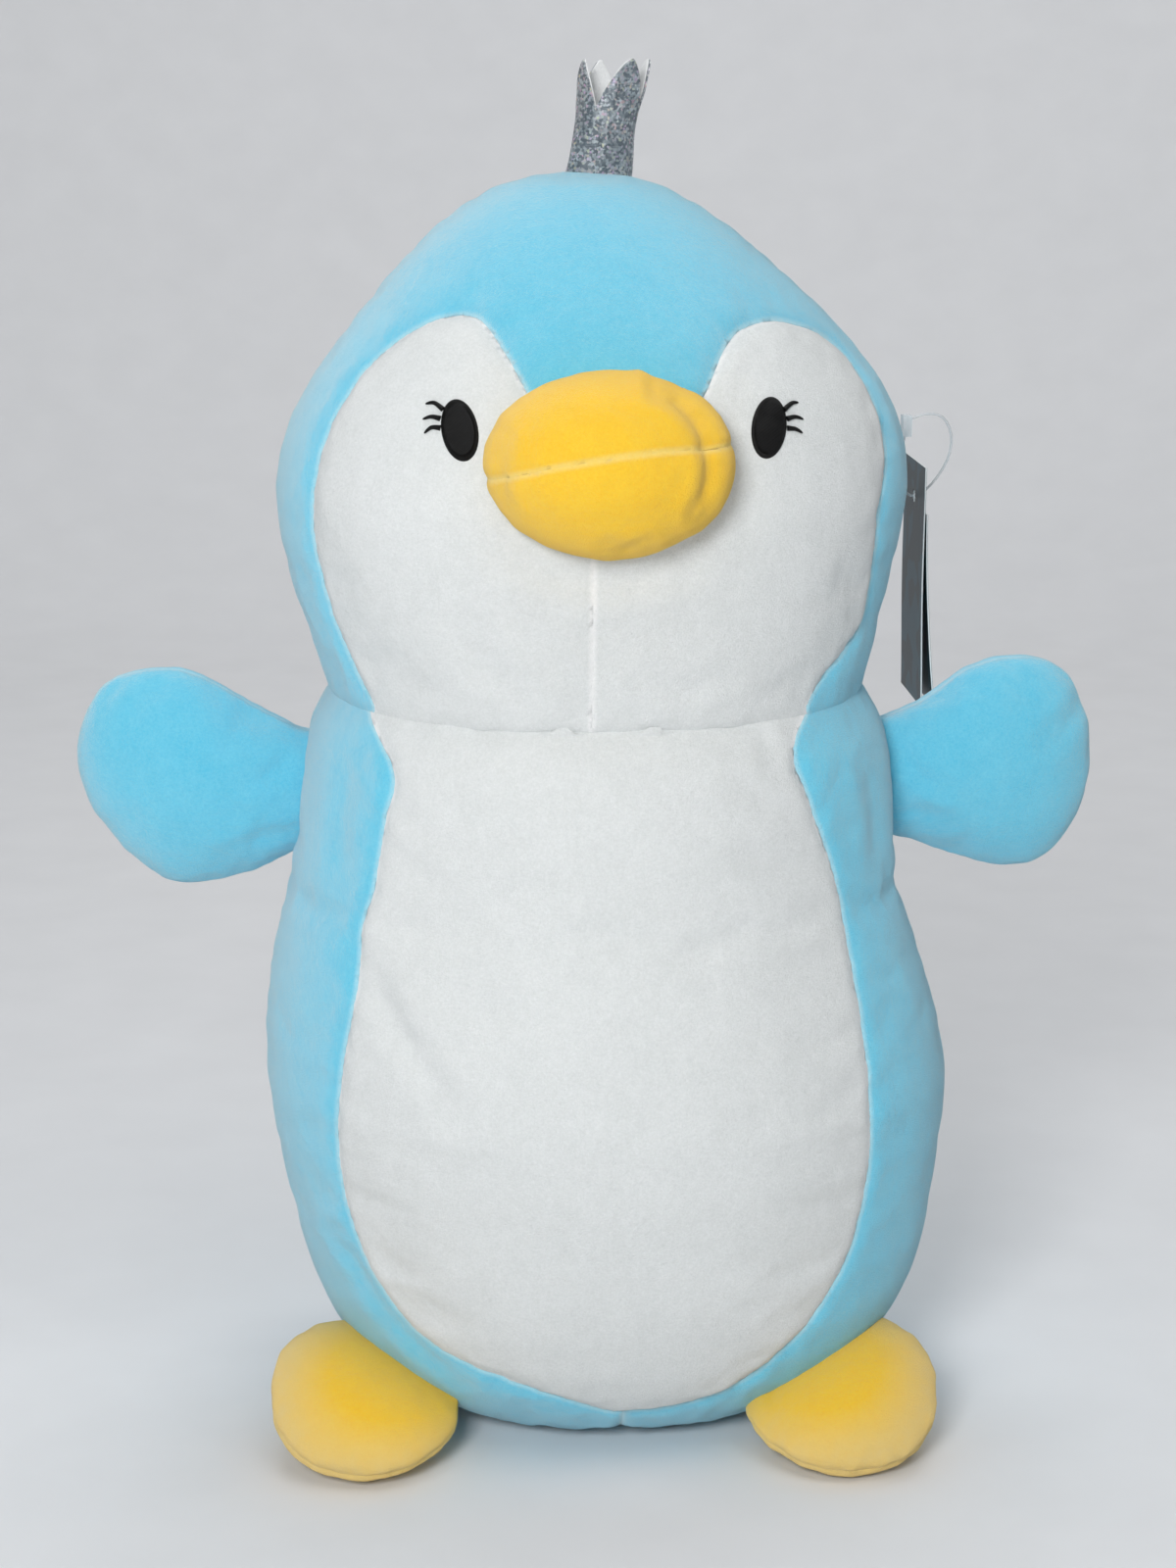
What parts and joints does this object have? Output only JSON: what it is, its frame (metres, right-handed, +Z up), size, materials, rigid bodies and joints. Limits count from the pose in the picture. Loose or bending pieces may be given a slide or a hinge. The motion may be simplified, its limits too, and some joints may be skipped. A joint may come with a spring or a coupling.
{
  "type": "plush penguin",
  "caption": "Stuffed penguin with a white face and belly, a stuffed beak, flipper arms and pad feet on flexible seams, a tube crown and a hang tag.",
  "frame": {"origin": "centre of the flat base, on the floor", "axes": "+Z up, the toy's front faces -Y, +X towards the toy's own left"},
  "size_m": [0.389, 0.2354, 0.512],
  "materials": {
    "blue_plush": "short-pile velour",
    "white_plush": "short-pile velour",
    "yellow_plush": "short-pile velour",
    "stuffing": "polyester fibre fill",
    "embroidery": "satin-stitched thread",
    "crown_cloth": "shimmering coated cloth",
    "crown_lining": "felt-like lining",
    "tag_card": "coated card with white cut edges",
    "tag_nylon": "clear nylon",
    "label_satin": "blank satin ribbon"
  },
  "bodies": {
    "torso": {"head_front_panel": "blue_plush", "head_back_left_panel": "blue_plush", "head_back_right_panel": "blue_plush", "face_left_panel": "white_plush", "face_right_panel": "white_plush", "head_stuffing": "stuffing", "beak_upper_panel": "yellow_plush", "beak_lower_panel": "yellow_plush", "beak_stuffing": "stuffing", "eye_left": "embroidery", "eye_right": "embroidery", "lashes_left": "embroidery", "lashes_right": "embroidery", "belly_panel": "white_plush", "body_side_left_panel": "blue_plush", "body_side_right_panel": "blue_plush", "body_back_left_panel": "blue_plush", "body_back_right_panel": "blue_plush", "base_panel": "blue_plush", "body_stuffing": "stuffing", "tag_loop": "tag_nylon", "tag_pin": "tag_nylon"},
    "arm_left_root": {"arm_left_root": "blue_plush"},
    "arm_left": {"arm_left_front_panel": "blue_plush", "arm_left_back_panel": "blue_plush", "arm_left_stuffing": "stuffing"},
    "foot_left": {"foot_left_upper_panel": "yellow_plush", "foot_left_sole": "yellow_plush", "foot_left_stuffing": "stuffing"},
    "arm_right_root": {"arm_right_root": "blue_plush"},
    "arm_right": {"arm_right_front_panel": "blue_plush", "arm_right_back_panel": "blue_plush", "arm_right_stuffing": "stuffing"},
    "foot_right": {"foot_right_upper_panel": "yellow_plush", "foot_right_sole": "yellow_plush", "foot_right_stuffing": "stuffing"},
    "crown": {"crown_outer": "crown_cloth", "crown_lining": "crown_lining"},
    "tag": {"tag_back_leaf": "tag_card"},
    "tag_front": {"tag_front_leaf": "tag_card"},
    "label": {"care_label": "label_satin"}
  },
  "joints": [
    {"name": "arm_left_swing", "type": "hinge", "parent": "torso", "child": "arm_left_root", "pos_m": [0.1245, 0, 0.246], "axis": [0, 0, 1], "range_deg": [-35, 15], "stiffness_Nm_per_rad": 0.05},
    {"name": "arm_left_raise", "type": "hinge", "parent": "arm_left_root", "child": "arm_left", "pos_m": [0.1245, 0, 0.246], "axis": [0, -1, 0], "range_deg": [-30, 45], "stiffness_Nm_per_rad": 0.05},
    {"name": "foot_left_flex", "type": "hinge", "parent": "torso", "child": "foot_left", "pos_m": [0.07, -0.056, 0.034], "axis": [-0.6691, -0.6161, -0.4156], "range_deg": [-20, 20], "stiffness_Nm_per_rad": 0.04},
    {"name": "arm_right_swing", "type": "hinge", "parent": "torso", "child": "arm_right_root", "pos_m": [-0.1245, 0, 0.246], "axis": [0, 0, -1], "range_deg": [-35, 15], "stiffness_Nm_per_rad": 0.05},
    {"name": "arm_right_raise", "type": "hinge", "parent": "arm_right_root", "child": "arm_right", "pos_m": [-0.1245, 0, 0.246], "axis": [0, 1, 0], "range_deg": [-30, 45], "stiffness_Nm_per_rad": 0.05},
    {"name": "foot_right_flex", "type": "hinge", "parent": "torso", "child": "foot_right", "pos_m": [-0.07, -0.056, 0.034], "axis": [-0.6691, 0.6161, 0.4156], "range_deg": [-20, 20], "stiffness_Nm_per_rad": 0.04},
    {"name": "crown_tilt", "type": "hinge", "parent": "torso", "child": "crown", "pos_m": [0.0025, 0.012, 0.4695], "axis": [1, 0, 0], "range_deg": [-20, 15], "stiffness_Nm_per_rad": 0.005},
    {"name": "tag_swing", "type": "hinge", "parent": "torso", "child": "tag", "pos_m": [0.127, 0.045, 0.346], "axis": [1, 0, 0], "range_deg": [-3, 60]},
    {"name": "tag_open", "type": "hinge", "parent": "tag", "child": "tag_front", "pos_m": [0.1276, 0.045, 0.342], "axis": [0, -1, 0], "range_deg": [0, 110]},
    {"name": "label_flap", "type": "hinge", "parent": "torso", "child": "label", "pos_m": [0, 0.104, 0.08], "axis": [1, 0, 0], "range_deg": [0, 110]}
  ]
}
